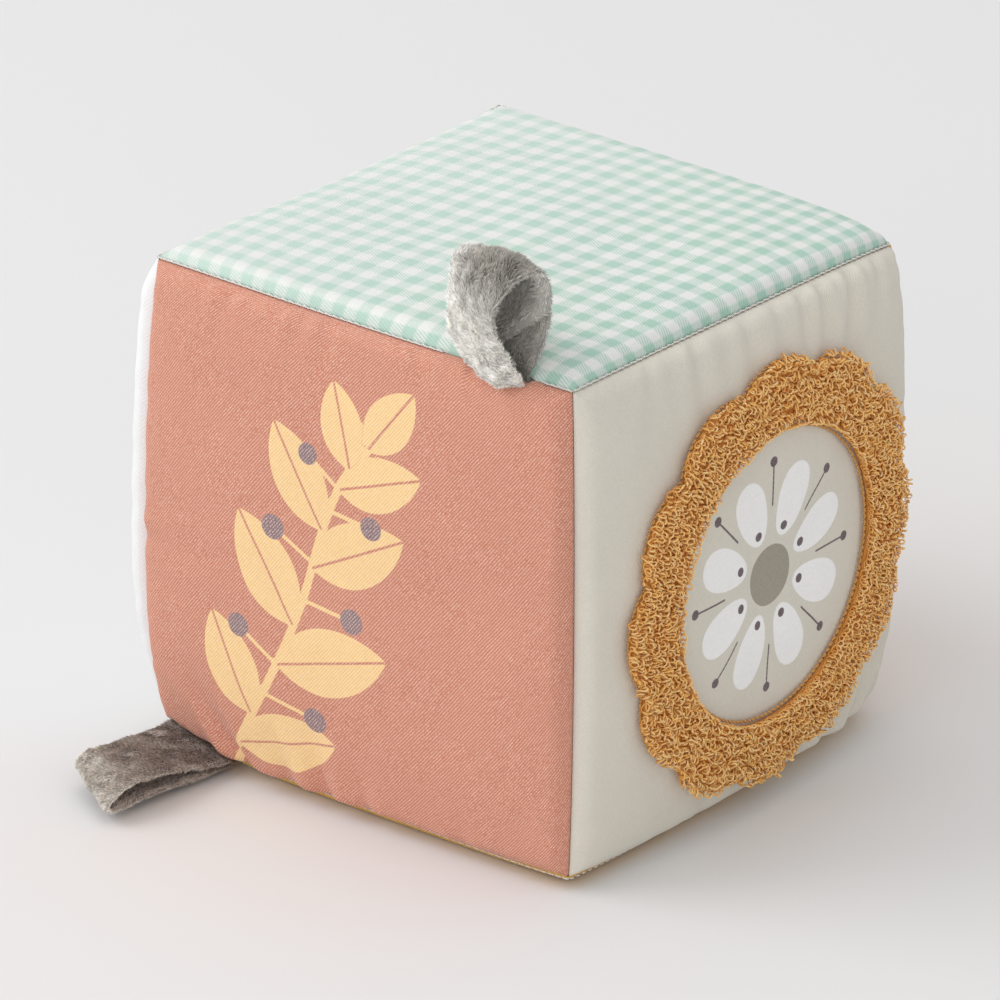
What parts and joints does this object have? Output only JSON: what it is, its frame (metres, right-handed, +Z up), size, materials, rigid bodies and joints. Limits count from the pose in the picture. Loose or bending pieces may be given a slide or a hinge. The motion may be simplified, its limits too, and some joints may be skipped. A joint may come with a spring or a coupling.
{
  "type": "soft fabric block",
  "caption": "Stuffed fabric cube for a baby, six sewn panels of different cloth, a looped-yarn flower ring and two plush ribbon loops in its seams.",
  "frame": {"origin": "centre of the flat resting face under the block", "axes": "+Z up, -Y out of the terracotta front panel, +X out of the panel with the looped ring"},
  "size_m": [0.1448, 0.1748, 0.1498],
  "materials": {
    "gingham_cotton": "matte, yarn-dyed check",
    "terracotta_twill": "matte, printed",
    "greige_cotton": "matte, printed",
    "white_cotton": "matte",
    "mustard_cotton": "matte",
    "ochre_cotton": "matte",
    "polyester_fibre": "matte",
    "mustard_boucle": "looped pile",
    "mustard_thread": "satin",
    "grey_plush": "short pile",
    "white_thread": "satin"
  },
  "bodies": {
    "block": {"top_panel": "gingham_cotton", "front_panel": "terracotta_twill", "right_panel": "greige_cotton", "left_panel": "white_cotton", "back_panel": "mustard_cotton", "bottom_panel": "ochre_cotton", "fibre_fill": "polyester_fibre", "top_seam_thread": "white_thread", "bottom_seam_thread": "white_thread", "front_left_seam_thread": "white_thread", "front_right_seam_thread": "white_thread", "back_right_seam_thread": "white_thread", "back_left_seam_thread": "white_thread", "closing_stitch": "white_thread", "boucle_ring": "mustard_boucle", "ring_inner_stitching": "mustard_thread", "ring_outer_stitching": "mustard_thread", "top_loop_sewn_end": "grey_plush", "bottom_loop_sewn_end": "grey_plush"},
    "top_loop": {"top_loop": "grey_plush"},
    "bottom_loop": {"bottom_loop": "grey_plush"}
  },
  "joints": [
    {"name": "top_loop_fold", "type": "hinge", "parent": "block", "child": "top_loop", "pos_m": [0.03979, -0.06557, 0.12587], "axis": [0.9999, -0.0163, 0.0029], "range_deg": [-26, 108], "stiffness_Nm_per_rad": 0.002},
    {"name": "bottom_loop_fold", "type": "hinge", "parent": "block", "child": "bottom_loop", "pos_m": [-0.04834, -0.06507, 0.00475], "axis": [0.9867, -0.0877, -0.1371], "range_deg": [-50, 98], "stiffness_Nm_per_rad": 0.002}
  ]
}
